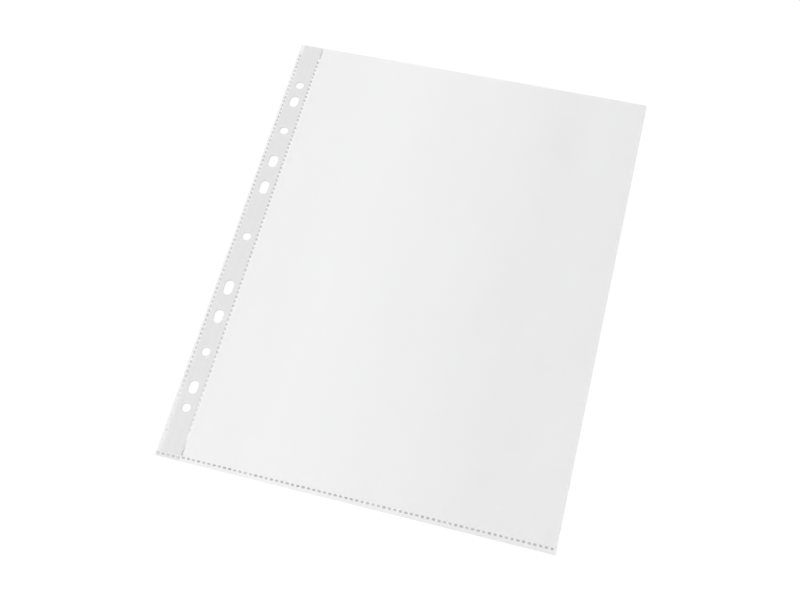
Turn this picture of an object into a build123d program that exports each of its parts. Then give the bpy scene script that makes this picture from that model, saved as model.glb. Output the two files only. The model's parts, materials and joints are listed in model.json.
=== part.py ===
"""Clear top-loading page pocket with a multi-hole binding edge, lying flat with its front side up.

One web of film, folded along the right side, makes the back and the front of the pocket. A reinforcing
strip lies between the two films at the left, and rows of small welds close the left side and the bottom.
The top is the open mouth. X runs from the binding edge to the fold, Y from the bottom weld to the mouth
and Z up from the surface that the pocket lies on. All sizes are in millimetres.
"""
from build123d import *
import os

# Page and film
PAGE_WIDTH = 240.0
PAGE_HEIGHT = 306.0
FILM_THICKNESS = 0.12

# Reinforcing strip, between the two films at the binding edge
STRIP_THICKNESS = 0.2
STRIP_WIDTH = 12.2
OUTER_MARGIN = 2.6  # bare film left of the strip

# Welds: rows of small oval marks that join the two films
SPOT_LENGTH = 1.7
SPOT_WIDTH = 1.1
SPOT_PITCH = 3.22  # along the sides of the strip
BOTTOM_PITCH = 3.24  # along the bottom
WELD_CLEARANCE = 0.1  # from the strip's edge to a mark
OUTER_CLEARANCE = 0.4  # from the strip's edge to a mark of the outer row
WELD_INSET = 0.6  # from the mouth to the bar of the inner weld
BOTTOM_INSET = 0.15  # from the left edge to the bottom row
FOLD_BARE = 1.35  # length beside the fold where the bottom row has no marks
BOTTOM_WELD_HEIGHT = 2.8  # middle of the bottom row above the bottom edge
OUTER_BARE_TOP = 8.4  # length at the mouth where the outer row has no marks
OUTER_BARE_BOTTOM = 2.5  # length above the bottom row where the outer row has no marks
MOUTH_BAR = 8.5  # unbroken bar of the inner weld at the mouth
BOTTOM_BAR = 13.0  # unbroken bar of the inner weld at the bottom
SEAM_EDGE = 0.2  # film past the inner weld, up to the fold line

# Binding holes, centre to centre across the middle hole
HOLE_DIAMETER = 5.7
HOLE_DROP = 0.45  # middle hole below the middle of the page
NARROW_RING_SPACING = 165.0
WIDE_RING_SPACING = 240.0
SLOT_WIDTH = 6.0
INNER_SLOT_SPACING = 75.0
INNER_SLOT_LENGTH = 10.3
MIDDLE_SLOT_SPACING = 116.0
MIDDLE_SLOT_LENGTH = 9.3
OUTER_SLOT_SPACING = 213.0
OUTER_SLOT_LENGTH = 8.7

# Moving stretches of the film
FOLD_CLEARANCE = 0.05  # from the fold line to the film on each side of it
SIDE_BAND = 14.0  # front film that stays down beside the inner weld and beside the fold
HEM_EDGE = 0.6  # front film that stays down above the bottom weld
MOUTH_CLEARANCE = 0.2  # round the part of the front film that lifts

# Levels of the layers, from the surface up
back_top = FILM_THICKNESS
front_bottom = back_top + STRIP_THICKNESS
front_top = front_bottom + FILM_THICKNESS
back_layer = (0.0, back_top)
inner_layer = (back_top, front_bottom)
front_layer = (front_bottom, front_top)

# Page outline
left = -PAGE_WIDTH / 2
right = PAGE_WIDTH / 2
bottom = -PAGE_HEIGHT / 2
top = PAGE_HEIGHT / 2

# Places across the page, from the binding edge to the fold
strip_left = left + OUTER_MARGIN
strip_right = strip_left + STRIP_WIDTH
hole_line = (strip_left + strip_right) / 2
outer_weld_x = strip_left - OUTER_CLEARANCE - SPOT_WIDTH / 2
inner_weld_x = strip_right + WELD_CLEARANCE + SPOT_WIDTH / 2
seam_right = inner_weld_x + SPOT_WIDTH / 2 + SEAM_EDGE
fold_line_x = seam_right + FOLD_CLEARANCE
pocket_left = fold_line_x + FOLD_CLEARANCE
bend_outer_radius = front_top / 2
bend_inner_radius = STRIP_THICKNESS / 2
bend_x = right - bend_outer_radius

# Places up the page, from the bottom weld to the mouth
bottom_weld_y = bottom + BOTTOM_WELD_HEIGHT
bottom_weld_top = bottom_weld_y + SPOT_WIDTH / 2
strip_bottom = bottom_weld_top + WELD_CLEARANCE
hem_top = bottom_weld_top + HEM_EDGE
lift_line_y = hem_top + MOUTH_CLEARANCE / 2
hole_middle_y = -HOLE_DROP


def plate(x_span, y_span, layer):
    """A flat rectangle of film or tape between two x values and two y values, in one layer."""
    size = (x_span[1] - x_span[0], y_span[1] - y_span[0], layer[1] - layer[0])
    corner = Pos(x_span[0], y_span[0], layer[0])
    return corner * Box(*size, align=(Align.MIN, Align.MIN, Align.MIN))


def oval(x, y, length, width, turn, layer):
    """A flat oval solid centred at x, y, its length along X, or along Y with a turn of 90 degrees."""
    outline = Pos(x, y, layer[0]) * Rot(0, 0, turn) * SlotOverall(length, width)
    return extrude(outline, amount=layer[1] - layer[0])


def row_places(start, end, pitch):
    """Middles of the marks of a weld row that fills start to end, at a pitch."""
    count = max(1, int((end - start - SPOT_LENGTH) / pitch) + 1)
    first = (start + end - (count - 1) * pitch) / 2
    return [first + i * pitch for i in range(count)]


def bottom_row(start, end):
    """The marks of the bottom weld, which runs across the page, that lie between two x values."""
    places = row_places(left + BOTTOM_INSET, bend_x - FOLD_BARE, BOTTOM_PITCH)
    half = SPOT_LENGTH / 2
    inside = [x for x in places if start <= x - half and x + half <= end]
    return [oval(x, bottom_weld_y, SPOT_LENGTH, SPOT_WIDTH, 0, inner_layer) for x in inside]


def row_up(x, start, end):
    """Weld marks in a row along Y, between two y values."""
    places = row_places(start, end, SPOT_PITCH)
    return [oval(x, y, SPOT_LENGTH, SPOT_WIDTH, 90, inner_layer) for y in places]


def bar_up(x, start, end):
    """An unbroken weld along Y, between two y values."""
    return oval(x, (start + end) / 2, end - start, SPOT_WIDTH, 90, inner_layer)


def punched_holes():
    """The solids that the punch takes out of the binding edge, through all its layers."""
    layer = (-FILM_THICKNESS, front_top + FILM_THICKNESS)
    height = layer[1] - layer[0]
    middle_z = (layer[0] + layer[1]) / 2
    round_hole = Cylinder(HOLE_DIAMETER / 2, height)
    holes = [Pos(hole_line, hole_middle_y, middle_z) * round_hole]
    for spacing in (NARROW_RING_SPACING, WIDE_RING_SPACING):
        for y in (-spacing / 2, spacing / 2):
            holes.append(Pos(hole_line, hole_middle_y + y, middle_z) * round_hole)
    slots = (
        (INNER_SLOT_SPACING, INNER_SLOT_LENGTH),
        (MIDDLE_SLOT_SPACING, MIDDLE_SLOT_LENGTH),
        (OUTER_SLOT_SPACING, OUTER_SLOT_LENGTH),
    )
    for spacing, length in slots:
        for y in (-spacing / 2, spacing / 2):
            holes.append(oval(hole_line, hole_middle_y + y, length, SLOT_WIDTH, 90, layer))
    return holes


def binding_edge():
    """The stiff edge that goes on the rings: strip, film margins and their welds."""
    holes = punched_holes()
    margin_x = (left, seam_right)
    page_y = (bottom, top)
    mouth_bar_start = top - WELD_INSET - MOUTH_BAR
    bottom_bar_end = strip_bottom + BOTTOM_BAR
    spot_space = SPOT_PITCH - SPOT_LENGTH
    inner_marks = [bar_up(inner_weld_x, strip_bottom, bottom_bar_end)]
    inner_marks.append(bar_up(inner_weld_x, mouth_bar_start, top - WELD_INSET))
    inner_marks += row_up(inner_weld_x, bottom_bar_end + spot_space, mouth_bar_start - spot_space)
    return {
        "reinforcing_strip": [plate((strip_left, strip_right), (strip_bottom, top), inner_layer) - holes],
        "front_margin": [plate(margin_x, page_y, front_layer) - holes],
        "back_margin": [plate(margin_x, page_y, back_layer) - holes],
        "outer_weld": row_up(outer_weld_x, strip_bottom + OUTER_BARE_BOTTOM, top - OUTER_BARE_TOP),
        "inner_weld": inner_marks,
        "margin_weld": bottom_row(left, seam_right),
    }


def folded_edge():
    """The film's half-round bend along the right side, from the back film to the front film."""
    outside = Cylinder(bend_outer_radius, PAGE_HEIGHT)
    inside = Cylinder(bend_inner_radius, PAGE_HEIGHT)
    half = Box(front_top, front_top, PAGE_HEIGHT, align=(Align.MIN, Align.CENTER, Align.CENTER))
    bend = (outside - inside) & half
    return Pos(bend_x, 0, front_top / 2) * Rot(90, 0, 0) * bend


def pocket():
    """The pocket's back, its fold and the stretches of the front film that stay down."""
    pocket_x = (pocket_left, bend_x)
    band_y = (hem_top, top)
    return {
        "back_panel": [plate(pocket_x, (bottom, top), back_layer)],
        "fold_edge": [folded_edge()],
        "front_weld_band": [plate((pocket_left, pocket_left + SIDE_BAND), band_y, front_layer)],
        "front_fold_band": [plate((bend_x - SIDE_BAND, bend_x), band_y, front_layer)],
        "front_hem": [plate(pocket_x, (bottom, hem_top), front_layer)],
        "bottom_weld": bottom_row(pocket_left, bend_x),
    }


def mouth():
    """The free middle of the front film, which lifts to open the mouth."""
    panel_x = (pocket_left + SIDE_BAND + MOUTH_CLEARANCE, bend_x - SIDE_BAND - MOUTH_CLEARANCE)
    return {"front_panel": [plate(panel_x, (hem_top + MOUTH_CLEARANCE, top), front_layer)]}


os.makedirs("parts", exist_ok=True)
for node, solids in {**binding_edge(), **pocket(), **mouth()}.items():
    export_step(Compound(label=node, children=solids), f"parts/{node}.step")

print("fold line x", round(fold_line_x, 4), "z", round(front_top, 4))
print("lift line y", round(lift_line_y, 4), "z", round(front_top - FILM_THICKNESS / 2, 4))
print("hole line x", round(hole_line, 4), "middle hole y", hole_middle_y)
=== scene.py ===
"""Looks of the clear page pocket: films, milky strip, weld marks, floor, light and camera.

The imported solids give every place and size. The films become thin shells that bend at the fold line and at
the mouth, the weld rows become pressed marks, and the stage shows the pocket lying on a pale floor.
"""

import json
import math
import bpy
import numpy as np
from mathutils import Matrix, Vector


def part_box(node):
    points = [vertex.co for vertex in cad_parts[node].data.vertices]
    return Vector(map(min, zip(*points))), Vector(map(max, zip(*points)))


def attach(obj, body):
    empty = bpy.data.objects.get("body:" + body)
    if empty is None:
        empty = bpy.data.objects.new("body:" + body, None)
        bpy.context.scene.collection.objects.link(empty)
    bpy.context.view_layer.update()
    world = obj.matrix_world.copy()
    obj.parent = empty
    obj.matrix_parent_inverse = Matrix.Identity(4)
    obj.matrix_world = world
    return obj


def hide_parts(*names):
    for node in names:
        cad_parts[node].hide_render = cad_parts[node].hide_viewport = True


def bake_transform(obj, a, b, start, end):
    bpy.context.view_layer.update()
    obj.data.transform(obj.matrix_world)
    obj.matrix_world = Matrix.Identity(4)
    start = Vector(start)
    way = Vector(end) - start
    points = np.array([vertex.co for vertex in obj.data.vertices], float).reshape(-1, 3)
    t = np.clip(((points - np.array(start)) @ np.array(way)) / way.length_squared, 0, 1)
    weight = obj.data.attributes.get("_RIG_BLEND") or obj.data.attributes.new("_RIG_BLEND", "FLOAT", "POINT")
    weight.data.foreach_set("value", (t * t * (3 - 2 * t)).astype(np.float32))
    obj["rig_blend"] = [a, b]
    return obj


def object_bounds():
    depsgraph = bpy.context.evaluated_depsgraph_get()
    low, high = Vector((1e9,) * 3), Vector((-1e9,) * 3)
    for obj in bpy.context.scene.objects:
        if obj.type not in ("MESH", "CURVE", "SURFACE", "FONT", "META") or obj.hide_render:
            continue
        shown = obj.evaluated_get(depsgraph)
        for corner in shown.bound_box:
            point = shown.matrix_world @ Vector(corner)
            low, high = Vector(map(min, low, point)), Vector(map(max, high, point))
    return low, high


bl_info = {
    "name": "Page pocket",
    "version": (1, 0, 0),
    "blender": (4, 5, 0),
    "location": "3D View > Sidebar > Page pocket",
    "description": "Builds the films, strip, weld marks and stage of a clear punched page pocket",
    "category": "Object",
}

from collections import Counter, namedtuple

import bmesh
import bpy
from mathutils import Matrix, Vector, noise

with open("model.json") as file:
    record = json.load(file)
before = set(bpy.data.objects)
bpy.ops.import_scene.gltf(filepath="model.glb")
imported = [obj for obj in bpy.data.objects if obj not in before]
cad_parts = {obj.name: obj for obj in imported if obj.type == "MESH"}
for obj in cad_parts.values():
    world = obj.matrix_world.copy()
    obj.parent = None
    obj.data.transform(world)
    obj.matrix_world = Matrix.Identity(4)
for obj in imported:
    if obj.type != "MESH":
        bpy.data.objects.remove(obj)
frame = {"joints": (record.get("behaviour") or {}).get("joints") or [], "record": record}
cad_low, cad_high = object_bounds()

MM = 0.001

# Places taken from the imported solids
front_low, front_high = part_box("front_margin")
back_low, back_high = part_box("back_margin")
strip_low, strip_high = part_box("reinforcing_strip")
inner_low, inner_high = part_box("inner_weld")
bottom_low, bottom_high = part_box("bottom_weld")
outer_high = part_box("outer_weld")[1]
bend_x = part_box("back_panel")[1].x
hinges = {joint["name"]: Vector(joint["pos_m"]) for joint in frame["joints"]}
fold_x = hinges["leaf_fold"].x
lift_y = hinges["mouth_open"].y
film_thickness = front_high.z - front_low.z
front_middle_z = (front_low.z + front_high.z) / 2
back_middle_z = (back_low.z + back_high.z) / 2

# Finishes of a shell's faces, in the order of its material slots
FACE, CUT, PUNCHED = range(3)

# Steps of the films' meshes
FLAT_STEP = 4.0 * MM
HEM_STEP = 1.0 * MM
FLEX_STEP = 0.2 * MM  # across the film that bends beside the fold line
BOWED_STEP = 2.5 * MM  # over the middle of the front film
FINE_STEP = 1.2 * MM  # over the front film's sides and foot
FINE_BAND = 18.0 * MM  # breadth of the front film's sides and foot
BEND_STEP = math.radians(15)  # round the fold along the right side
SHARP_ANGLE = math.radians(35)  # edges of the films and the strip

# Steps round the punched holes
BAND_STEP = 2.2 * MM  # across the band, beside its holes
HOLE_COLUMNS = (-4.2, -3.0, -2.0, -1.2, -0.5, 0.5, 1.2, 2.0, 3.0, 4.2)  # millimetres from the hole line
HOLE_STEP = 0.9 * MM  # up the band, beside a hole
HOLE_MARGIN = 1.5 * MM  # from a hole's end to the plain rows
HOLE_RIM = 0.3 * MM  # breadth of the faces round a hole
STRIP_CLEARANCE = 0.01 * MM  # from the strip's faces to the films
NEAR = 0.01 * MM  # edges closer than this to a line are on it
SAME_SPOT = 0.0001 * MM  # corners closer than this are one

# Shape of the resting front film
SIDE_REACH = 70.0 * MM  # from the weld or the fold to the full bow
HEM_REACH = 110.0 * MM  # from the hem to the full bow
LIP_REACH = 45.0 * MM  # from the mouth to where its lip begins
PUCKER_PEAK = 3.0 * MM  # from a weld to its highest puckers
PUCKER_END = 16.0 * MM  # from a weld to its last puckers
PUCKER_EASE = 8.0 * MM  # from a corner to the full puckers
WAVES = ((16, 6, 0.4, 1.0), (34, 11, 2.7, 0.5))  # turns per metre across and up, noise layer, share
RIPPLES_UP = (130, 5.1)  # turns per metre along the inner weld, noise layer
RIPPLES_ACROSS = (110, 8.3)  # turns per metre along the bottom weld, noise layer

# Share of the pocket's fullest haze, at shares of the page's width; its broad bands paint a reflection gradient,
# lighter over the left third and darker towards the right
POCKET_HAZE_AND_SHEEN = (
    (0.18, 0.52), (0.27, 0.46), (0.37, 0.52), (0.48, 0.63),
    (0.58, 0.69), (0.69, 0.8), (0.79, 0.94), (0.9, 0.9),
)

# The same across the whole page, with the margin at the strip and the fold, at x values
HAZE_AND_SHEEN_ACROSS = (
    (cad_low.x, 0.4),
    (strip_low.x - 1.2 * MM, 0.72),
    (strip_low.x, 0.72),
    (strip_low.x + 0.5 * MM, 0.52),
    *((cad_low.x + share * (cad_high.x - cad_low.x), haze) for share, haze in POCKET_HAZE_AND_SHEEN),
    # Denser haze just before the fold: painted shade over the band that the bowed front film lights
    (bend_x - 2.0 * MM, 0.95),
    (bend_x - 0.6 * MM, 0.9),
    (cad_high.x, 1.0),
)

# Painted glints, as clearer film in noisy spots: beside the inner weld, and along the bottom weld
PAINTED_GLINT_ACROSS = (
    (inner_low.x, 0.0),
    (inner_low.x + 0.3 * MM, 0.45),
    (inner_high.x + 0.6 * MM, 0.45),
    (inner_high.x + 1.6 * MM, 0.0),
)
PAINTED_GLINT_UP = (
    (bottom_low.y - 0.9 * MM, 0.0),
    (bottom_low.y - 0.3 * MM, 0.3),
    (bottom_high.y + 0.2 * MM, 0.3),
    (bottom_high.y + 0.9 * MM, 0.0),
)

# Corner at the mouth, where the outer margin has no weld marks
BARE_ACROSS = ((strip_low.x - 0.2 * MM, 0.35), (strip_low.x + 0.4 * MM, 0.0))
BARE_UP = ((outer_high.y, 0.0), (outer_high.y + 2.0 * MM, 1.0))

# Corner below the strip, where the films are melted together
FUSED_ACROSS = ((inner_low.x, 1.0), (inner_low.x + 0.8 * MM, 0.0))
FUSED_UP = ((strip_low.y, 1.0), (strip_low.y + 0.3 * MM, 0.0))

# Film
FILM_IOR = 1.49
# The edges' grey shares paint the shade and refraction seen at the film's cut edges, darkest at the holes' far
# walls
CUT_EDGE_SHADE = (0.2, 0.45)  # share of light that a cut edge holds back, thinnest and densest
PUNCHED_EDGE_SHADE = (0.35, 0.7)  # a hole's wall, darker as its far side shows

# Weld marks
END_STEPS = 5  # faces round each end of a mark
MARK_MELT = 0.7  # how much of a mark's middle is fused
MARK_ANGLE = math.radians(60)  # sharp edges of the marks
BOTTOM_BAR_PRESS = (0.85, -0.15)  # pressing at the bar's low end and at its high end
MOUTH_BAR_PRESS = (0.62, 0.58)
OUTER_LEAST = 0.12  # least pressing of the outer row's faint stretch
INNER_LEAST = 0.4
STRAY_PRESS = (-0.7, 0.35)  # of single marks in a faint stretch, most of them not pressed
PRESS_SPREAD = (0.7, 1.15)  # unevenness of the pressing
SEED_STEP = 100  # from one row's seed to the next row's

# Stage
FLOOR_HALF = 4.0
FLOOR_TOP = -0.1 * MM
SEE_THROUGH_FACES = 32  # faces of clear film that a ray may pass

Hole = namedtuple("Hole", "y length radius")


def ring_holes():
    """The punched holes from the record's mounts: the line they are on, and each one's place and size."""
    found = []
    for mount in frame["record"]["mounts"]:
        sizes = mount["dims"]
        if mount["kind"] == "bore":
            radius = sizes["r_mm"] * MM
            found.append(Hole(mount["pos_m"][1], 2 * radius, radius))
        elif "slot_length_mm" in sizes:
            for side in (-1, 1):
                y = mount["pos_m"][1] + side * sizes["spacing_y_mm"] / 2 * MM
                found.append(Hole(y, sizes["slot_length_mm"] * MM, sizes["hole_r_mm"] * MM))
            line = mount["pos_m"][0]
    return line, sorted(found)


hole_line, holes = ring_holes()


# Settings that a user would change


def number_property(name, description, default, **limits):
    """A number, with its limits and its unit or subtype."""
    return bpy.props.FloatProperty(name=name, description=description, default=default, **limits)


def vector_property(name, description, default, **limits):
    """Numbers that belong together."""
    return bpy.props.FloatVectorProperty(
        name=name, description=description, default=default, size=len(default), **limits
    )


def length_property(name, description, millimetres):
    """A length, given in millimetres and kept in metres."""
    return number_property(name, description, millimetres * MM, unit="LENGTH", precision=5)


def share_property(name, description, default):
    """A share from 0 to 1."""
    return number_property(name, description, default, min=0.0, max=1.0, subtype="FACTOR")


def angle_property(name, description, degrees):
    """An angle, given in degrees and kept in radians."""
    return number_property(name, description, math.radians(degrees), subtype="ANGLE")


def colour_property(name, description, default):
    """A linear colour."""
    return vector_property(name, description, default, min=0.0, max=1.0, subtype="COLOR")


def place_property(name, description, default):
    """A place in metres."""
    return vector_property(name, description, default, subtype="TRANSLATION", unit="LENGTH")


class FilmSettings(bpy.types.PropertyGroup):
    """Shape and finish of the clear film."""

    flex_width: length_property("Flex width", "Film that bends beside the fold line", 3.0)
    bow: length_property("Bow", "Rise of the front film over the middle of the pocket", 0.4)
    lip: length_property("Lip", "Further rise of the front film at the mouth", 0.2)
    wave: length_property("Wave", "Height of the long waves in the front film", 0.15)
    pucker: length_property("Pucker", "Height of the short puckers beside the welds", 0.05)
    haze: share_property("Haze", "Share of light that the haziest film holds back", 0.165)
    haze_colour: colour_property("Haze colour", "Colour of the film's haze", (0.75, 0.75, 0.755))
    mottle: share_property("Mottle", "Unevenness of the haze", 0.12)
    gloss: share_property("Gloss roughness", "Roughness of the film's gloss", 0.14)
    # The edge and hole colours are painted shade of the film's cut edges and the holes' walls
    edge_shade_colour: colour_property("Edge colour", "Colour of the film's cut edges", (0.62, 0.62, 0.63))
    hole_shade_colour: colour_property("Hole colour", "Colour of the punched holes' walls", (0.4, 0.4, 0.41))


class StripSettings(bpy.types.PropertyGroup):
    """Finish of the reinforcing strip."""

    colour: colour_property("Colour", "Colour of the milky tape", (0.93, 0.93, 0.935))
    milkiness: share_property("Milkiness", "Share of light that the tape holds back", 0.76)


class WeldSettings(bpy.types.PropertyGroup):
    """Shape and finish of the weld marks."""

    length: length_property("Length", "Length of one mark along its row", 1.7)
    width: length_property("Width", "Width of one mark", 1.1)
    pitch: length_property("Pitch", "From one mark to the next", 3.22)
    mouth_bar: length_property("Mouth bar", "Unbroken bar of the inner weld at the mouth", 8.5)
    bottom_bar: length_property("Bottom bar", "Unbroken bar of the inner weld at the bottom", 13.0)
    bar_width: length_property("Bar width", "Width of the bars at the inner weld's ends", 0.7)
    bar_shift: length_property("Bar shift", "Shift of the bars to the pocket's side", 0.4)
    rim: length_property("Rim", "Height of the melted rim above the film", 0.04)
    dish: length_property("Dish", "Depth of the pressed middle below the film", 0.14)
    jitter: share_property("Jitter", "Unevenness of the marks' size and turn", 0.12)
    outer_faint: length_property("Outer faint", "Lower stretch of the outer row, hardly pressed", 28.0)
    outer_fade: length_property("Outer fade", "Stretch over which the outer row grows strong", 14.0)
    inner_fade: length_property("Inner fade", "Stretch over which the inner row grows strong", 50.0)
    outer_press: share_property("Outer press", "Pressing of the outer row", 0.5)
    inner_press: share_property("Inner press", "Pressing of the inner row", 0.55)
    margin_press: share_property("Margin press", "Pressing of the row below the strip", 0.42)
    bottom_press: share_property("Bottom press", "Pressing of the bottom row", 0.84)
    margin_size: share_property("Margin size", "Extra size of the marks below the strip", 0.25)
    margin_inset: length_property("Margin inset", "Shift of the row below the strip, in from the edge", 0.25)
    margin_drop: length_property("Margin drop", "Shift of the row below the strip, to the bottom", 0.84)
    bottom_size: share_property("Bottom size", "Extra size of the bottom row's marks", 0.1)
    bottom_rise: length_property("Bottom rise", "Rise of the bottom row from the strip to the fold", 0.6)
    # The fused film's grey paints the shade of the pressed marks
    colour: colour_property("Colour", "Colour of the fused film", (0.32, 0.32, 0.325))
    seed: bpy.props.IntProperty(name="Seed", description="Seed of the marks' unevenness", default=15, min=0)


class StageSettings(bpy.types.PropertyGroup):
    """Floor, light and camera."""

    floor_colour: colour_property("Floor colour", "Colour of the floor", (0.85, 0.85, 0.85))
    floor_glow: share_property("Floor glow", "Light of the floor for the camera, which makes it white", 0.17)
    fill: share_property("Fill", "Strength of the light from all round", 0.6)
    key: number_property("Key", "Strength of the main lamp", 1.37, min=0.0)
    key_place: vector_property(
        "Key place", "Direction that the main lamp shines from", (-0.35, -0.15, 0.92), subtype="DIRECTION"
    )
    key_angle: angle_property("Key angle", "Breadth of the main lamp", 30.0)
    lens: number_property("Lens", "Focal length", 49.915, unit="CAMERA")
    place: place_property("Place", "Place of the camera", (0.09841, -0.29323, 0.62528))
    aim: place_property("Aim", "Point on the page that the camera looks at", (-0.02242, -0.03061, 0.0))
    roll: angle_property("Roll", "Turn of the camera about its line of sight", -10.369)
    shift: vector_property("Shift", "Shift of the frame across the lens", (0.04135, 0.00858))


class PagePocketSettings(bpy.types.PropertyGroup):
    """All settings of the page pocket."""

    film: bpy.props.PointerProperty(type=FilmSettings)
    strip: bpy.props.PointerProperty(type=StripSettings)
    weld: bpy.props.PointerProperty(type=WeldSettings)
    stage: bpy.props.PointerProperty(type=StageSettings)


# Nodes


def add_node(tree, kind, inputs=None, output=0, **settings):
    """Adds a node, applies its settings, sets or links its inputs, and gives one of its outputs."""
    made = tree.nodes.new(kind)
    for name, value in settings.items():
        setattr(made, name, value)
    for key, value in (inputs or {}).items():
        if isinstance(value, bpy.types.NodeSocket):
            tree.links.new(value, made.inputs[key])
        else:
            made.inputs[key].default_value = value
    return made.outputs[output] if made.outputs else None


def math_node(tree, operation, *values, clamp=False):
    """The result of a sum on sockets or numbers."""
    return add_node(tree, "ShaderNodeMath", dict(enumerate(values)), operation=operation, use_clamp=clamp)


def ramp_node(tree, value, stops):
    """A line through (place, height) stops, read at a value from 0 to 1."""
    heights = add_node(tree, "ShaderNodeValToRGB", {"Fac": value})
    ramp = heights.node.color_ramp
    while len(ramp.elements) < len(stops):
        ramp.elements.new(0.5)
    for element, (place, height) in zip(ramp.elements, stops):
        element.position = place
        element.color = (height, height, height, 1.0)
    return heights


def object_place(tree):
    """Object coordinates, which follow the piece and are in metres."""
    return add_node(tree, "ShaderNodeTexCoord", output="Object")


def noise_node(tree, scale, detail, stretch=(1.0, 1.0, 1.0)):
    """Noise from 0 to 1, its grain stretched along the axes."""
    place = add_node(tree, "ShaderNodeMapping", {"Vector": object_place(tree), "Scale": stretch})
    return add_node(tree, "ShaderNodeTexNoise", {"Vector": place, "Scale": scale, "Detail": detail})


def bump_node(tree, height, strength, distance):
    """A normal that follows a height."""
    return add_node(tree, "ShaderNodeBump", {"Height": height, "Strength": strength, "Distance": distance})


def plastic_shader(tree, colour, roughness, **inputs):
    """A solid plastic surface."""
    inputs = {"Base Color": (*colour, 1.0), "Roughness": roughness, **inputs}
    return add_node(tree, "ShaderNodeBsdfPrincipled", inputs)


def clear_shader(tree):
    """A shader that lets everything through."""
    return add_node(tree, "ShaderNodeBsdfTransparent")


def mix_shaders(tree, share, first, second):
    """The first shader, with a share of the second."""
    return add_node(tree, "ShaderNodeMixShader", {"Fac": share, 1: first, 2: second})


def new_material(name):
    """An empty node material and its tree."""
    material = bpy.data.materials.new(name)
    material.use_nodes = True
    material.node_tree.nodes.clear()
    return material, material.node_tree


def finish_material(tree, shader):
    """Links a shader to the material's output."""
    add_node(tree, "ShaderNodeOutputMaterial", {"Surface": shader})


def finish_outer(tree, outer):
    """Links a shader to the material's output, with faces clear where they are seen from inside the wall."""
    inside = add_node(tree, "ShaderNodeNewGeometry", output="Backfacing")
    finish_material(tree, mix_shaders(tree, inside, outer, clear_shader(tree)))


# Finishes


def page_curve(tree, axis, stops):
    """A value that follows (place, value) stops along the page's X or Y."""
    index = "XY".index(axis)
    low, high = cad_low[index], cad_high[index]
    along = add_node(tree, "ShaderNodeSeparateXYZ", {"Vector": object_place(tree)}, output=axis)
    share = add_node(tree, "ShaderNodeMapRange", {"Value": along, "From Min": low, "From Max": high})
    return ramp_node(tree, share, [((at - low) / (high - low), value) for at, value in stops])


def page_zone(tree, operation, across, up):
    """A zone of the page, from a curve along X and one along Y."""
    return math_node(tree, operation, page_curve(tree, "X", across), page_curve(tree, "Y", up))


def haze_of_film(tree, film):
    """Share of light that the film holds back: broad bands that paint a reflection gradient across the page,
    painted glints as clear spots at the welds, and faint mottling.
    """
    # The film's real haze, with a painted reflection gradient in broad bands across the page
    bands = page_curve(tree, "X", HAZE_AND_SHEEN_ACROSS)
    clouds = noise_node(tree, scale=30.0, detail=3.0, stretch=(1.0, 0.45, 1.0))
    uneven = math_node(tree, "MULTIPLY_ADD", clouds, 2 * film.mottle, 1.0 - film.mottle)
    spots = ramp_node(tree, noise_node(tree, scale=650.0, detail=1.0), ((0.42, 0.1), (0.62, 1.0)))
    # Painted glints: noise spots where the film is clearer, beside the inner weld and along the bottom weld
    melted = page_zone(tree, "MAXIMUM", PAINTED_GLINT_ACROSS, PAINTED_GLINT_UP)
    melted = math_node(tree, "MULTIPLY", melted, spots)
    bare = page_zone(tree, "MULTIPLY", BARE_ACROSS, BARE_UP)
    hazy = math_node(tree, "SUBTRACT", 1.0, math_node(tree, "MAXIMUM", melted, bare))
    haze = math_node(tree, "MULTIPLY", bands, hazy)
    haze = math_node(tree, "MAXIMUM", haze, page_zone(tree, "MULTIPLY", FUSED_ACROSS, FUSED_UP))
    haze = math_node(tree, "MULTIPLY", haze, uneven)
    return math_node(tree, "MULTIPLY", haze, film.haze)


def film_finish(name, film):
    """Clear film with a grey haze and a soft gloss on its outer faces."""
    material, tree = new_material(name)
    grain = noise_node(tree, scale=1400.0, detail=2.0)
    normal = bump_node(tree, grain, strength=0.06, distance=0.05 * MM)
    wear = noise_node(tree, scale=60.0, detail=4.0, stretch=(1.0, 0.5, 1.0))
    wear_range = 0.08
    roughness = math_node(tree, "MULTIPLY_ADD", wear, wear_range, film.gloss - wear_range / 2)
    hazy = plastic_shader(tree, film.haze_colour, roughness, Normal=normal)
    veiled = mix_shaders(tree, haze_of_film(tree, film), clear_shader(tree), hazy)
    gloss = add_node(tree, "ShaderNodeBsdfGlossy", {"Roughness": roughness})
    fresnel = add_node(tree, "ShaderNodeFresnel", {"IOR": FILM_IOR})
    finish_outer(tree, mix_shaders(tree, fresnel, veiled, gloss))
    return material


def edge_finish(name, colour, thin, dense):
    """Edge of the film: a grey that paints the shade and refraction seen at cut and punched edges, uneven between
    a thin and a dense look.
    """
    material, tree = new_material(name)
    nicks = noise_node(tree, scale=700.0, detail=2.0)
    spread = {"Value": nicks, "From Min": 0.3, "From Max": 0.7, "To Min": thin, "To Max": dense}
    share = add_node(tree, "ShaderNodeMapRange", spread)
    edge = plastic_shader(tree, colour, roughness=0.35)
    finish_material(tree, mix_shaders(tree, share, clear_shader(tree), edge))
    return material


def strip_finish(name, strip):
    """Milky tape with fine streaks along its length."""
    material, tree = new_material(name)
    streaks = noise_node(tree, scale=900.0, detail=3.0, stretch=(1.0, 0.02, 1.0))
    clouds = noise_node(tree, scale=90.0, detail=2.0, stretch=(1.0, 0.6, 1.0))
    streak_range, cloud_range = 0.1, 0.06
    least = strip.milkiness - (streak_range + cloud_range) / 2
    share = math_node(tree, "MULTIPLY_ADD", streaks, streak_range, least)
    share = math_node(tree, "MULTIPLY_ADD", clouds, cloud_range, share)
    normal = bump_node(tree, streaks, strength=0.1, distance=0.05 * MM)
    tape = plastic_shader(tree, strip.colour, roughness=0.55, Normal=normal)
    finish_outer(tree, mix_shaders(tree, share, clear_shader(tree), tape))
    return material


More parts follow.
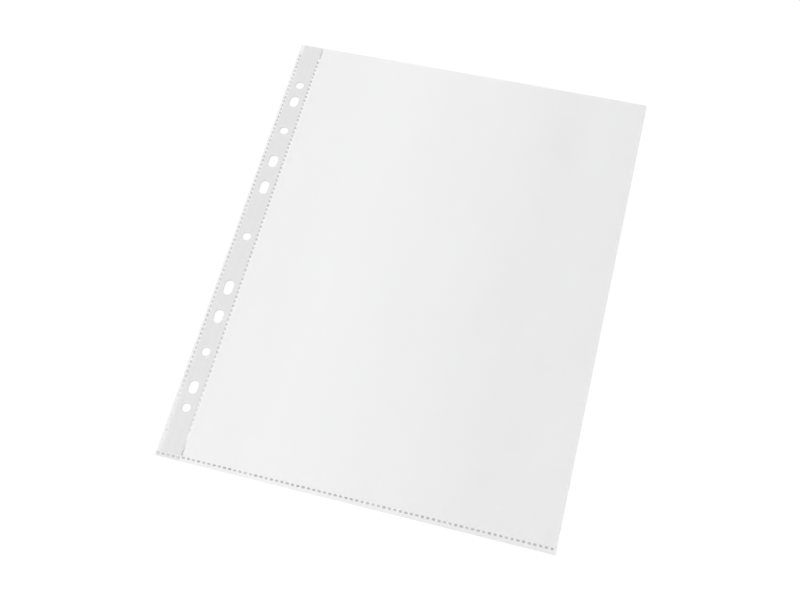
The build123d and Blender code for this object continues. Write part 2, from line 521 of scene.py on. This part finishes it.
def weld_finish(name, weld):
    """Fused film: a grey that paints the shade and refraction of the pressed pits, pitted, and thinner where it
    was lightly pressed.
    """
    material, tree = new_material(name)
    press = add_node(tree, "ShaderNodeAttribute", output="Fac", attribute_name="press")
    melt = add_node(tree, "ShaderNodeAttribute", output="Fac", attribute_name="melt")
    pits = noise_node(tree, scale=2200.0, detail=3.0)
    normal = bump_node(tree, pits, strength=0.4, distance=0.08 * MM)
    # The fused grey is painted shade of the pits, added to the real shade of the dish and rim
    fused = plastic_shader(tree, weld.colour, roughness=0.32, Normal=normal)
    pit_range, least = 0.3, 0.65
    spotted = math_node(tree, "MULTIPLY_ADD", pits, pit_range, least)
    share = math_node(tree, "MULTIPLY", press, math_node(tree, "MULTIPLY", melt, spotted), clamp=True)
    finish_outer(tree, mix_shaders(tree, share, clear_shader(tree), fused))
    return material


def finish_named(name, make, *settings):
    """A finish that is made once and shared by the pieces that have it."""
    return bpy.data.materials.get(name) or make(name, *settings)


def film_finishes(film):
    """The film's face, cut edge and punched edge, in the order of a shell's slots."""
    return [
        finish_named("clear_film", film_finish, film),
        finish_named("cut_edge", edge_finish, film.edge_shade_colour, *CUT_EDGE_SHADE),
        finish_named("punched_edge", edge_finish, film.hole_shade_colour, *PUNCHED_EDGE_SHADE),
    ]


# Shells


def add_object(name, data):
    """A new object in the scene."""
    made = bpy.data.objects.new(name, data)
    bpy.context.scene.collection.objects.link(made)
    return made


class Shell:
    """Collects faces by their corner points, and shares the corners that lie on one spot."""

    def __init__(self):
        self.corners = {}
        self.faces = []
        self.finishes = []

    def corner(self, point):
        """Number of the corner at a point."""
        key = tuple(round(value / SAME_SPOT) for value in point)
        return self.corners.setdefault(key, (len(self.corners), tuple(point)))[0]

    def face(self, points, finish=FACE):
        """Adds a face with these corners."""
        self.faces.append([self.corner(point) for point in points])
        self.finishes.append(finish)

    def object(self, name, materials):
        """The collected faces as a new object with outward, smooth faces and sharp edges."""
        mesh = bpy.data.meshes.new(name)
        mesh.from_pydata([place for _, place in self.corners.values()], [], self.faces)
        for material in materials:
            mesh.materials.append(material)
        mesh.polygons.foreach_set("material_index", self.finishes)
        smooth_outwards(mesh, SHARP_ANGLE)
        return add_object(name, mesh)


def smooth_outwards(mesh, sharp_angle):
    """Points all faces of a closed mesh outwards, and makes them smooth between its sharp edges."""
    work = bmesh.new()
    work.from_mesh(mesh)
    bmesh.ops.recalc_face_normals(work, faces=work.faces)
    work.to_mesh(mesh)
    work.free()
    mesh.shade_smooth()
    mesh.set_sharp_from_angle(angle=sharp_angle)


def spaced(start, end, step):
    """Evenly spaced values from start to end, at most a step apart."""
    count = max(1, math.ceil(abs(end - start) / step - 1e-6))
    return [start + (end - start) * i / count for i in range(count + 1)]


def ease(value, start, end):
    """Smooth rise from 0 at start to 1 at end."""
    share = min(1.0, max(0.0, (value - start) / (end - start)))
    return share * share * (3 - 2 * share)


def add_sheet(shell, path, rows, cut_ends, rise=None):
    """Adds a film that follows a path of (x, z, normal x, normal z) across and a list of y values up."""
    faces = {1: [], -1: []}
    for side in faces:
        for y in rows:
            line = []
            for x, z, normal_x, normal_z in path:
                lift = rise(x, y) if rise else 0.0
                half = side * film_thickness / 2
                line.append((x + normal_x * half, y, z + lift + normal_z * half))
            faces[side].append(line)
    top, under = faces[1], faces[-1]
    for r in range(len(rows) - 1):
        for c in range(len(path) - 1):
            for side in (top, under):
                shell.face((side[r][c], side[r][c + 1], side[r + 1][c + 1], side[r + 1][c]))
    for r in range(len(rows) - 1):
        for c in (0, -1):
            shell.face((top[r][c], top[r + 1][c], under[r + 1][c], under[r][c]))
    for c in range(len(path) - 1):
        for name, r in (("bottom", 0), ("top", -1)):
            finish = CUT if name in cut_ends else FACE
            shell.face((top[r][c], top[r][c + 1], under[r][c + 1], under[r][c]), finish)


def grid_quads(columns, rows):
    """Flat quads between columns and rows."""
    quads = []
    for low, high in zip(rows, rows[1:]):
        for left, right in zip(columns, columns[1:]):
            quads.append(((left, low), (right, low), (right, high), (left, high)))
    return quads


def hole_cell(columns, rows, hole):
    """Flat quads between a hole and the rectangle of columns and rows around it."""
    ring = [(x, rows[0]) for x in columns]
    ring += [(columns[-1], y) for y in rows[1:]]
    ring += [(x, rows[-1]) for x in reversed(columns[:-1])]
    ring += [(columns[0], y) for y in reversed(rows[1:-1])]
    half_core = hole.length / 2 - hole.radius

    def toward(point, distance):
        """The point at a distance from the hole's core, on the way to a point of the ring."""
        core = Vector((hole_line, hole.y + min(half_core, max(-half_core, point[1] - hole.y))))
        return tuple(core + (Vector(point) - core).normalized() * distance)

    outline = [toward(point, hole.radius) for point in ring]
    rim_line = [toward(point, hole.radius + HOLE_RIM) for point in ring]
    quads = []
    for i in range(len(ring)):
        j = (i + 1) % len(ring)
        quads.append((outline[i], rim_line[i], rim_line[j], outline[j]))
        quads.append((rim_line[i], ring[i], ring[j], rim_line[j]))
    return quads


def punched_quads(columns, low_y, high_y, flex_columns=()):
    """Quads of a flat punched band: cells round the holes, plain rows between, any flex columns beside."""
    quads = []
    rows = [low_y]
    for hole in holes:
        half = hole.length / 2 + HOLE_MARGIN
        plain_rows = spaced(rows[-1], hole.y - half, FLAT_STEP)
        cell_rows = spaced(hole.y - half, hole.y + half, HOLE_STEP)
        quads += grid_quads(columns, plain_rows)
        quads += hole_cell(columns, cell_rows, hole)
        rows += plain_rows[1:] + cell_rows[1:]
    plain_rows = spaced(rows[-1], high_y, FLAT_STEP)
    quads += grid_quads(columns, plain_rows)
    rows += plain_rows[1:]
    return quads + grid_quads(flex_columns, rows)


def add_punched_band(shell, quads, low_z, high_z, seam_x=math.inf):
    """Adds flat quads as a closed band: punched walls at the holes, cut edges, and any seam with no cut."""
    hole_reach = max(hole.radius for hole in holes) + NEAR
    borders = Counter()
    for quad in quads:
        shell.face([(*point, high_z) for point in quad])
        shell.face([(*point, low_z) for point in reversed(quad)])
        for start, end in zip(quad, quad[1:] + quad[:1]):
            borders[frozenset((shell.corner((*start, high_z)), shell.corner((*end, high_z))))] += 1
    places = dict(shell.corners.values())
    heights = [place[1] for place in places.values()]
    ends = (min(heights), max(heights))
    for border, count in borders.items():
        if count == 1:
            start, end = (places[number][:2] for number in border)
            at_seam = abs(start[0] - seam_x) + abs(end[0] - seam_x) < NEAR
            at_end = abs(start[1] - end[1]) < NEAR and start[1] in ends
            at_hole = abs(start[0] - hole_line) < hole_reach and not at_end
            wall = ((*start, high_z), (*end, high_z), (*end, low_z), (*start, low_z))
            shell.face(wall, FACE if at_seam else PUNCHED if at_hole else CUT)


def binding_columns(left, right):
    """Columns across a punched band, closer together over the holes."""
    inner = [hole_line + offset * MM for offset in HOLE_COLUMNS]
    return spaced(left, inner[0], BAND_STEP)[:-1] + inner + spaced(inner[-1], right, BAND_STEP)[1:]


# Films and strip


class PAGEPOCKET_OT_binding_films(bpy.types.Operator):
    """Make the punched films of the binding edge, which bend beside the fold line"""

    bl_idname = "page_pocket.binding_films"
    bl_label = "Binding films"

    def execute(self, context):
        film = context.scene.page_pocket.film
        seam_x = fold_x + film.flex_width
        columns = binding_columns(front_low.x, fold_x)
        flex_columns = spaced(fold_x, seam_x, FLEX_STEP)
        quads = punched_quads(columns, cad_low.y, cad_high.y, flex_columns)
        for name, low, high, node in (
            ("binding_front_film", front_low.z, front_high.z, "front_margin"),
            ("binding_back_film", back_low.z, back_high.z, "back_margin"),
        ):
            shell = Shell()
            add_punched_band(shell, quads, low, high, seam_x)
            made = shell.object(name, film_finishes(film))
            middle_z = (low + high) / 2
            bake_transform(made, "binding_edge", "pocket", start=(fold_x, 0, middle_z), end=(seam_x, 0, middle_z))
            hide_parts(node)
        return {"FINISHED"}


class PAGEPOCKET_OT_strip(bpy.types.Operator):
    """Make the punched reinforcing strip between the films"""

    bl_idname = "page_pocket.strip"
    bl_label = "Reinforcing strip"

    def execute(self, context):
        settings = context.scene.page_pocket
        columns = binding_columns(strip_low.x, strip_high.x)
        quads = punched_quads(columns, strip_low.y, strip_high.y)
        shell = Shell()
        add_punched_band(shell, quads, strip_low.z + STRIP_CLEARANCE, strip_high.z - STRIP_CLEARANCE)
        face = finish_named("milky_tape", strip_finish, settings.strip)
        made = shell.object("milky_strip", [face, *film_finishes(settings.film)[1:]])
        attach(made, "binding_edge")
        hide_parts("reinforcing_strip")
        return {"FINISHED"}


class PAGEPOCKET_OT_pocket_film(bpy.types.Operator):
    """Make the back film with its fold along the right side and the hem over the bottom weld"""

    bl_idname = "page_pocket.pocket_film"
    bl_label = "Pocket film"

    def execute(self, context):
        film = context.scene.page_pocket.film
        left = fold_x + film.flex_width
        low_y, high_y = cad_low.y, cad_high.y
        bend_z = (front_middle_z + back_middle_z) / 2
        radius = (front_middle_z - back_middle_z) / 2
        columns = spaced(left, bend_x, FLAT_STEP)
        path = [(x, back_middle_z, 0.0, -1.0) for x in columns]
        for angle in spaced(-math.pi / 2, math.pi / 2, BEND_STEP)[1:]:
            across, up = math.cos(angle), math.sin(angle)
            path.append((bend_x + radius * across, bend_z + radius * up, across, up))
        shell = Shell()
        add_sheet(shell, path, spaced(low_y, high_y, FLAT_STEP), {"bottom", "top"})
        hem_path = [(x, front_middle_z, 0.0, 1.0) for x in columns]
        add_sheet(shell, hem_path, spaced(low_y, lift_y, HEM_STEP), {"bottom"})
        made = shell.object("pocket_film", film_finishes(film))
        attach(made, "pocket")
        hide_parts("back_panel", "fold_edge", "front_hem")
        return {"FINISHED"}


def front_rise(film):
    """Height of the resting front film over the flat one, as a function of x and y."""
    left, right, top = fold_x + film.flex_width, bend_x, cad_high.y

    def beside(value, weld):
        """1 at the highest puckers beside a weld, and 0 at the weld and past the last of them."""
        return ease(value, weld, weld + PUCKER_PEAK) * ease(value, weld + PUCKER_END, weld + PUCKER_PEAK)

    def rise(x, y):
        """Height at one place."""
        from_sides = ease(x, left, left + SIDE_REACH) * ease(x, right, right - SIDE_REACH)
        from_hem = ease(y, lift_y, lift_y + HEM_REACH)
        lip = ease(y, top - LIP_REACH, top)
        wave = 0.0
        for turns_across, turns_up, layer, share in WAVES:
            wave += share * noise.noise(Vector((x * turns_across, y * turns_up, layer)))
        height = from_sides * (from_hem * (film.bow + film.wave * wave) + lip * film.lip)
        ripple_up = 0.5 + 0.5 * noise.noise(Vector((0.0, y * RIPPLES_UP[0], RIPPLES_UP[1])))
        ripple_across = 0.5 + 0.5 * noise.noise(Vector((x * RIPPLES_ACROSS[0], 0.0, RIPPLES_ACROSS[1])))
        from_corners = ease(x, left, left + PUCKER_EASE) * ease(x, right, right - PUCKER_EASE)
        height += film.pucker * beside(x, left) * ripple_up * ease(y, lift_y, lift_y + PUCKER_EASE)
        height += film.pucker * beside(y, lift_y) * ripple_across * from_corners
        return height

    return rise


class PAGEPOCKET_OT_front_films(bpy.types.Operator):
    """Make the two halves of the pocket's front film, which bow up between the weld and the fold"""

    bl_idname = "page_pocket.front_films"
    bl_label = "Front films"

    def execute(self, context):
        film = context.scene.page_pocket.film
        left, right = fold_x + film.flex_width, bend_x
        middle = (left + right) / 2
        foot_y = lift_y + FINE_BAND
        rows = spaced(lift_y, foot_y, FINE_STEP)[:-1] + spaced(foot_y, cad_high.y, BOWED_STEP)
        for name, side, nodes in (
            ("front_film_left", left, ("front_weld_band", "front_panel")),
            ("front_film_right", right, ("front_fold_band", "front_panel")),
        ):
            near = side + math.copysign(FINE_BAND, middle - side)
            columns = sorted(spaced(side, near, FINE_STEP)[:-1] + spaced(near, middle, BOWED_STEP))
            path = [(x, front_middle_z, 0.0, 1.0) for x in columns]
            shell = Shell()
            add_sheet(shell, path, rows, {"top"}, front_rise(film))
            made = shell.object(name, film_finishes(film))
            start, end = (side, 0, front_middle_z), (middle, 0, front_middle_z)
            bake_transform(made, "pocket", "mouth_flap", start=start, end=end)
            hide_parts(*nodes)
        return {"FINISHED"}


# Weld marks


def oval_outline(length, width):
    """Corners of an oval with straight sides, its length along Y."""
    radius = width / 2
    half_core = length / 2 - radius
    corners = []
    for end, first in ((1, 0.0), (-1, math.pi)):
        for i in range(END_STEPS + 1):
            angle = first + math.pi * i / END_STEPS
            corners.append((radius * math.cos(angle), end * half_core + radius * math.sin(angle)))
    return corners


def pressed_mark(work, middle, length, width, weld, presses=(1.0, 1.0), middle_melt=MARK_MELT):
    """Adds a closed mark to a bmesh: a wall, a melted rim and a pressed middle, pressed from end to end."""
    layers = work.verts.layers.float
    press_layer, melt_layer = (layers.get(name) or layers.new(name) for name in ("press", "melt"))
    film_top = front_high.z
    low_press, high_press = presses
    # Inset as a share of the width, height, and how much is fused there, from the foot to the middle
    levels = (
        (0.11, back_low.z + 0.02 * MM, 0.5),
        (0.0, back_high.z, 1.0),
        (0.0, film_top, 1.0),
        (0.09, film_top + weld.rim, 1.0),
        (0.18, film_top + weld.rim / 2, 1.0),
        (0.33, film_top - weld.dish, middle_melt),
    )
    rings = []
    for inset_share, z, melt in levels:
        inset = inset_share * width
        ring = []
        for x, y in oval_outline(length - 2 * inset, width - 2 * inset):
            corner = work.verts.new((middle[0] + x, middle[1] + y, z))
            corner[press_layer] = low_press + (high_press - low_press) * (y / length + 0.5)
            corner[melt_layer] = melt
            ring.append(corner)
        rings.append(ring)
    for below, above in zip(rings, rings[1:]):
        for i in range(len(below)):
            j = (i + 1) % len(below)
            work.faces.new((below[i], below[j], above[j], above[i]))
    work.faces.new(list(reversed(rings[0])))
    work.faces.new(rings[-1])


def mark_object(weld, finish):
    """One mark at the origin, for the rows to repeat. The rows give it its pressing."""
    work = bmesh.new()
    pressed_mark(work, (0.0, 0.0), weld.length, weld.width, weld)
    mesh = bpy.data.meshes.new("one_mark")
    work.to_mesh(mesh)
    work.free()
    mesh.attributes.remove(mesh.attributes["press"])
    mesh.materials.append(finish)
    return add_object("one_mark", mesh)


def weld_row_tree():
    """Geometry nodes that repeat a mark along a row, each a little uneven, and keep its pressing in press."""
    tree = bpy.data.node_groups.new("weld row", "GeometryNodeTree")
    tree.is_modifier = True
    sockets = {}
    for kind, names in (
        ("Object", ("Mark",)),
        ("Vector", ("First", "Step")),
        ("Int", ("Count", "Seed")),
        ("Float", ("Turn", "Extra Size", "Jitter", "Press", "Faint Below", "Fade", "Least")),
        ("Material", ("Finish",)),
    ):
        for name in names:
            made = tree.interface.new_socket(name=name, in_out="INPUT", socket_type="NodeSocket" + kind)
            sockets[name] = made.identifier
    tree.interface.new_socket(name="Marks", in_out="OUTPUT", socket_type="NodeSocketGeometry")
    given = add_node(tree, "NodeGroupInput").node.outputs
    spread = {"Count": given["Count"], "Start Location": given["First"], "Offset": given["Step"]}
    line = add_node(tree, "GeometryNodeMeshLine", spread, mode="OFFSET", count_mode="TOTAL")
    mark = add_node(tree, "GeometryNodeObjectInfo", {"Object": given["Mark"]}, output="Geometry")

    def uneven(low, high, seed_step):
        """A random number for each mark."""
        limits = {2: low, 3: high, "Seed": math_node(tree, "ADD", given["Seed"], seed_step)}
        return add_node(tree, "FunctionNodeRandomValue", limits, output=1, data_type="FLOAT")

    def jitter(seed_step):
        """A random change for each mark, up or down."""
        return math_node(tree, "MULTIPLY", uneven(-1.0, 1.0, seed_step), given["Jitter"])

    turn = math_node(tree, "ADD", jitter(0), given["Turn"])
    rotation = add_node(tree, "ShaderNodeCombineXYZ", {"Z": turn})
    size = math_node(tree, "ADD", given["Extra Size"], 1.0)
    width = math_node(tree, "ADD", jitter(11), size)
    length = math_node(tree, "ADD", jitter(23), size)
    scale = add_node(tree, "ShaderNodeCombineXYZ", {"X": width, "Y": length, "Z": 1.0})
    placing = {"Points": line, "Instance": mark, "Rotation": rotation, "Scale": scale}
    marks = add_node(tree, "GeometryNodeInstanceOnPoints", placing)
    place = add_node(tree, "GeometryNodeInputPosition")
    height = add_node(tree, "ShaderNodeSeparateXYZ", {"Vector": place}, output="Y")
    rise = math_node(tree, "SUBTRACT", height, given["Faint Below"])
    strong = math_node(tree, "DIVIDE", rise, given["Fade"], clamp=True)
    strong = math_node(tree, "MAXIMUM", strong, uneven(*STRAY_PRESS, 41))
    strong = math_node(tree, "MAXIMUM", strong, given["Least"])
    press = math_node(tree, "MULTIPLY", strong, uneven(*PRESS_SPREAD, 37))
    press = math_node(tree, "MULTIPLY", press, given["Press"])
    pressing = {"Geometry": marks, "Name": "press", "Value": press}
    marks = add_node(
        tree, "GeometryNodeStoreNamedAttribute", pressing, data_type="FLOAT", domain="INSTANCE"
    )
    marks = add_node(tree, "GeometryNodeRealizeInstances", {"Geometry": marks})
    marks = add_node(tree, "GeometryNodeSetMaterial", {"Geometry": marks, "Material": given["Finish"]})
    add_node(tree, "NodeGroupOutput", {"Marks": marks})
    return tree, sockets


def row_between(low, high, axis, length, pitch):
    """Inputs of a row of marks in the middle of a box, along X or Y, at a pitch."""
    count = int((high[axis] - low[axis] - length) / pitch + 1e-3) + 1
    first = (low + high) / 2
    first[axis] = (low[axis] + high[axis] - (count - 1) * pitch) / 2
    first.z = 0.0
    step = Vector()
    step[axis] = pitch
    return {"First": first, "Step": step, "Count": count, "Turn": math.pi / 2 if axis == 0 else 0.0}


def row_in(node, axis, weld):
    """Inputs of the row of marks that fills a weld node's box, along X or Y."""
    low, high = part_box(node)
    room = high[axis] - low[axis] - weld.length
    return row_between(low, high, axis, weld.length, room / round(room / weld.pitch))


def inner_weld_row(weld):
    """Inputs of the inner weld's row of marks, between its two bars."""
    space = weld.pitch - weld.length
    low, high = inner_low.copy(), inner_high.copy()
    low.y += weld.bottom_bar + space
    high.y -= weld.mouth_bar + space
    return row_between(low, high, 1, weld.length, weld.pitch)


def moved_row(row, first, last):
    """A row whose first and last marks are moved, and the marks between them in proportion."""
    lean = (last - first) / (row["Count"] - 1)
    return {**row, "First": row["First"] + first, "Step": row["Step"] + lean}


def row_object(name, tree, sockets, values):
    """A row of marks as a plain mesh object."""
    made = add_object(name, bpy.data.meshes.new(name))
    modifier = made.modifiers.new("Weld row", "NODES")
    modifier.node_group = tree
    for socket_name, value in values.items():
        modifier[sockets[socket_name]] = value
    made.update_tag()
    graph = bpy.context.evaluated_depsgraph_get()
    mesh = bpy.data.meshes.new_from_object(
        made.evaluated_get(graph), preserve_all_data_layers=True, depsgraph=graph
    )
    made.modifiers.clear()
    mesh.name = name
    made.data = mesh
    if not mesh.polygons:
        raise RuntimeError(f"{name} has no marks")
    return made


def add_bars(made, x, weld):
    """Adds the unbroken bars at the inner weld's ends to its row's mesh."""
    work = bmesh.new()
    work.from_mesh(made.data)
    for y, length, presses in (
        (inner_low.y + weld.bottom_bar / 2, weld.bottom_bar, BOTTOM_BAR_PRESS),
        (inner_high.y - weld.mouth_bar / 2, weld.mouth_bar, MOUTH_BAR_PRESS),
    ):
        pressed_mark(work, (x, y), length, weld.bar_width, weld, presses, middle_melt=1.0)
    work.to_mesh(made.data)
    work.free()


class PAGEPOCKET_OT_weld_marks(bpy.types.Operator):
    """Make the rows of pressed weld marks along the binding edge and the bottom"""

    bl_idname = "page_pocket.weld_marks"
    bl_label = "Weld marks"

    def execute(self, context):
        weld = context.scene.page_pocket.weld
        finish = finish_named("fused_film", weld_finish, weld)
        mark = mark_object(weld, finish)
        tree, sockets = weld_row_tree()
        outer = row_in("outer_weld", 1, weld)
        outer |= {"Press": weld.outer_press, "Fade": weld.outer_fade, "Least": OUTER_LEAST}
        outer["Faint Below"] = outer["First"].y + weld.outer_faint
        inner = inner_weld_row(weld)
        inner |= {"Press": weld.inner_press, "Fade": weld.inner_fade, "Least": INNER_LEAST}
        inner["Faint Below"] = inner["First"].y
        shift = Vector((weld.margin_inset, -weld.margin_drop, 0.0))
        margin = moved_row(row_in("margin_weld", 0, weld), shift, shift)
        margin |= {"Press": weld.margin_press, "Extra Size": weld.margin_size}
        half_rise = Vector((0.0, weld.bottom_rise / 2, 0.0))
        bottom = moved_row(row_in("bottom_weld", 0, weld), -half_rise, half_rise)
        bottom |= {"Press": weld.bottom_press, "Extra Size": weld.bottom_size}
        shared = {"Mark": mark, "Finish": finish, "Jitter": weld.jitter, "Seed": weld.seed}
        plain = {"Extra Size": 0.0, "Faint Below": 0.0, "Fade": 1.0, "Least": 1.0}
        for node, body, row in (
            ("outer_weld", "binding_edge", outer),
            ("inner_weld", "binding_edge", inner),
            ("margin_weld", "binding_edge", margin),
            ("bottom_weld", "pocket", bottom),
        ):
            made = row_object(node + "_marks", tree, sockets, {**shared, **plain, **row})
            shared["Seed"] += SEED_STEP
            if node == "inner_weld":
                add_bars(made, row["First"].x + weld.bar_shift, weld)
            smooth_outwards(made.data, MARK_ANGLE)
            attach(made, body)
            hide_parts(node)
        bpy.data.objects.remove(mark)
        return {"FINISHED"}


# Stage


def seen_straight(tree):
    """1 for the rays that show the background: camera, glossy and transmission rays."""
    paths = add_node(tree, "ShaderNodeLightPath").node.outputs
    seen = math_node(tree, "ADD", paths["Is Camera Ray"], paths["Is Glossy Ray"])
    return math_node(tree, "ADD", seen, paths["Is Transmission Ray"], clamp=True)


def floor_finish(stage):
    """Pale floor that reads white and keeps the shadow of what lies on it."""
    material, tree = new_material("pale_floor")
    matte = add_node(tree, "ShaderNodeBsdfDiffuse", {"Color": (*stage.floor_colour, 1.0)})
    glow = math_node(tree, "MULTIPLY", seen_straight(tree), stage.floor_glow)
    white = add_node(tree, "ShaderNodeEmission", {"Strength": glow})
    finish_material(tree, add_node(tree, "ShaderNodeAddShader", {0: matte, 1: white}))
    return material


def add_floor(stage):
    """The pale floor just under the pocket."""
    corners = [(x * FLOOR_HALF, y * FLOOR_HALF, FLOOR_TOP) for x, y in ((-1, -1), (1, -1), (1, 1), (-1, 1))]
    mesh = bpy.data.meshes.new("floor")
    mesh.from_pydata(corners, [], [(0, 1, 2, 3)])
    mesh.materials.append(floor_finish(stage))
    add_object("floor", mesh)


def soft_world(stage):
    """A white world for what the camera sees, and an even light on the rest."""
    world = bpy.data.worlds.new("soft_studio")
    world.use_nodes = True
    tree = world.node_tree
    tree.nodes.clear()
    seen = seen_straight(tree)
    strength = add_node(tree, "ShaderNodeMapRange", {"Value": seen, "To Min": stage.fill, "To Max": 1.0})
    light = add_node(tree, "ShaderNodeBackground", {"Color": (1.0, 1.0, 1.0, 1.0), "Strength": strength})
    add_node(tree, "ShaderNodeOutputWorld", {"Surface": light})
    bpy.context.scene.world = world


def add_key(stage):
    """The main lamp, broad and far away, so that its light is even."""
    data = bpy.data.lights.new("key", "SUN")
    data.energy = stage.key
    data.angle = stage.key_angle
    lamp = add_object("key", data)
    lamp.matrix_world = Vector(stage.key_place).to_track_quat("Z", "Y").to_matrix().to_4x4()


def add_camera(stage):
    """The camera at the photograph's place, turned about its line of sight."""
    data = bpy.data.cameras.new("camera")
    data.lens = stage.lens
    data.shift_x, data.shift_y = stage.shift
    data.clip_start = 0.01
    place, aim = Vector(stage.place), Vector(stage.aim)
    level = (aim - place).to_track_quat("-Z", "Y").to_matrix().to_4x4()
    camera = add_object("camera", data)
    camera.matrix_world = Matrix.Translation(place) @ level @ Matrix.Rotation(stage.roll, 4, "Z")
    bpy.context.scene.camera = camera


class PAGEPOCKET_OT_stage(bpy.types.Operator):
    """Make the pale floor, the soft light and the camera"""

    bl_idname = "page_pocket.stage"
    bl_label = "Stage"

    def execute(self, context):
        stage = context.scene.page_pocket.stage
        add_floor(stage)
        soft_world(stage)
        add_key(stage)
        add_camera(stage)
        context.scene.view_settings.view_transform = "Standard"
        context.scene.cycles.transparent_max_bounces = SEE_THROUGH_FACES
        return {"FINISHED"}


class PAGEPOCKET_PT_panel(bpy.types.Panel):
    """Buttons and settings of the page pocket"""

    bl_idname = "PAGEPOCKET_PT_panel"
    bl_label = "Page pocket"
    bl_space_type = "VIEW_3D"
    bl_region_type = "UI"
    bl_category = "Page pocket"

    def draw(self, context):
        settings = context.scene.page_pocket
        for operator in OPERATORS:
            self.layout.operator(operator.bl_idname)
        for group in ("film", "strip", "weld", "stage"):
            box = self.layout.box()
            box.label(text=group.capitalize())
            values = getattr(settings, group)
            for name in values.__annotations__:
                box.prop(values, name)


OPERATORS = (
    PAGEPOCKET_OT_binding_films,
    PAGEPOCKET_OT_strip,
    PAGEPOCKET_OT_weld_marks,
    PAGEPOCKET_OT_pocket_film,
    PAGEPOCKET_OT_front_films,
    PAGEPOCKET_OT_stage,
)
SETTINGS = (FilmSettings, StripSettings, WeldSettings, StageSettings, PagePocketSettings)


def register():
    """Registers the settings, the operators and the panel."""
    for made in (*SETTINGS, *OPERATORS, PAGEPOCKET_PT_panel):
        bpy.utils.register_class(made)
    bpy.types.Scene.page_pocket = bpy.props.PointerProperty(type=PagePocketSettings)


def unregister():
    """Takes them away again."""
    del bpy.types.Scene.page_pocket
    for made in reversed((*SETTINGS, *OPERATORS, PAGEPOCKET_PT_panel)):
        bpy.utils.unregister_class(made)


def main():
    """Builds the pieces and the stage."""
    register()
    bpy.ops.page_pocket.binding_films()
    bpy.ops.page_pocket.strip()
    bpy.ops.page_pocket.weld_marks()
    bpy.ops.page_pocket.pocket_film()
    bpy.ops.page_pocket.front_films()
    bpy.ops.page_pocket.stage()


if __name__ == "__main__":
    main()
